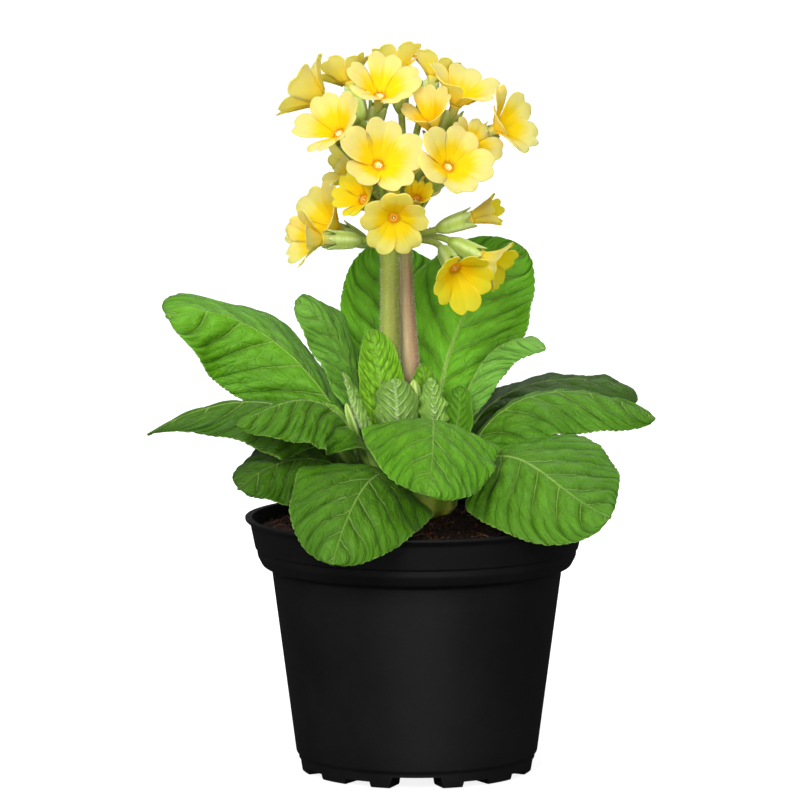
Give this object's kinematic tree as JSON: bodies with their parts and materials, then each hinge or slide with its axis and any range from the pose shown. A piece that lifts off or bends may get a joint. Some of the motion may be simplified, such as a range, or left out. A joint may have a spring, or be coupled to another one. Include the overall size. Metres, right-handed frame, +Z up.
{
  "type": "potted cowslip",
  "caption": "Cowslip with yellow flower heads on two upright stems above a rosette of wrinkled leaves, standing in a round ribbed-rim nursery pot of soil.",
  "frame": {"origin": "under the middle of the whole outline, leaves and all, on the plane that the pot's foot stands on", "axes": "+Z up along the flower stems; +X to the right as seen in the picture; -Y towards the viewer"},
  "size_m": [0.178, 0.1619, 0.2547],
  "materials": {
    "pot": "satin",
    "soil": "matte",
    "crown": "matte",
    "stem_olive": "matte",
    "stem_rose": "matte",
    "leaf": "satin",
    "leaf_young": "satin",
    "petal_pale": "matte",
    "petal_deep": "matte",
    "bud": "matte"
  },
  "bodies": {
    "root": {"pot": "pot", "soil": "soil", "crown": "crown", "umbel_left": "stem_olive", "umbel_right": "stem_rose", "leaf_upper_left": "leaf", "leaf_far_left": "leaf", "leaf_mid_left": "leaf", "leaf_low_left": "leaf", "leaf_front_left": "leaf", "leaf_front": "leaf", "leaf_front_right": "leaf", "leaf_far_right": "leaf", "leaf_right_behind": "leaf", "leaf_right_rising": "leaf", "leaf_tall_right": "leaf", "leaf_tall_left": "leaf", "leaf_left_rising": "leaf", "leaf_back_left": "leaf", "leaf_back": "leaf", "leaf_back_right": "leaf", "leaf_low_back_left": "leaf", "leaf_low_back_right": "leaf", "leaf_young_upright": "leaf_young", "leaf_young_front": "leaf_young", "leaf_young_curled": "leaf_young", "leaf_young_hood": "leaf_young", "leaf_young_round": "leaf", "leaf_young_folded": "leaf_young", "leaf_young_rolled": "leaf_young", "flower_01": "petal_pale", "flower_02": "petal_pale", "flower_03": "petal_deep", "flower_04": "petal_pale", "flower_05": "petal_pale", "flower_06": "petal_pale", "flower_07": "petal_pale", "flower_08": "petal_pale", "flower_09": "petal_pale", "flower_10": "petal_pale", "flower_11": "petal_pale", "flower_12": "petal_pale", "flower_13": "petal_pale", "flower_14": "petal_pale", "flower_15": "petal_deep", "flower_16": "petal_deep", "flower_17": "petal_pale", "flower_18": "petal_pale", "flower_19": "petal_deep", "flower_20": "petal_deep", "flower_21": "petal_deep", "flower_22": "petal_pale", "flower_23": "petal_pale", "flower_24": "petal_pale", "flower_25": "petal_pale", "bud_left": "bud", "bud_right": "bud"}
  },
  "joints": []
}
